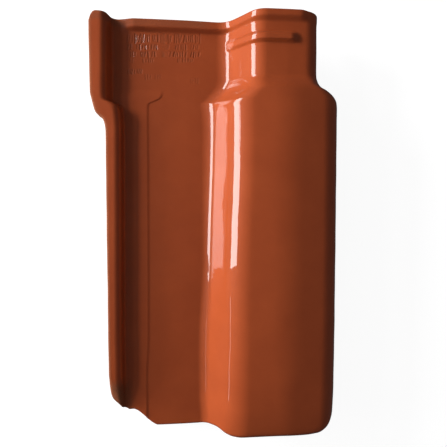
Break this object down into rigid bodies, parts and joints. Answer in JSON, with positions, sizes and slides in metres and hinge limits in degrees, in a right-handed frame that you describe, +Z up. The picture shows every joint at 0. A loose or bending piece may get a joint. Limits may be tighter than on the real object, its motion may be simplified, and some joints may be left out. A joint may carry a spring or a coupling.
{
  "type": "interlocking roof tile",
  "caption": "Glazed interlocking clay roof tile: flat water channel beside a raised roll, side rib for the neighbour, narrowed head with beads, nibs and foot bar underneath.",
  "frame": {"origin": "centre of the bounding box at the plane that the two nibs and the foot bar rest on", "axes": "+Y from the foot to the narrowed head, +Z up out of the glazed face, +X from the side rib to the roll"},
  "size_m": [0.253, 0.4362, 0.0627],
  "materials": {
    "orange_glaze": "glossy"
  },
  "bodies": {
    "root": {"roof_tile": "orange_glaze"}
  },
  "joints": []
}
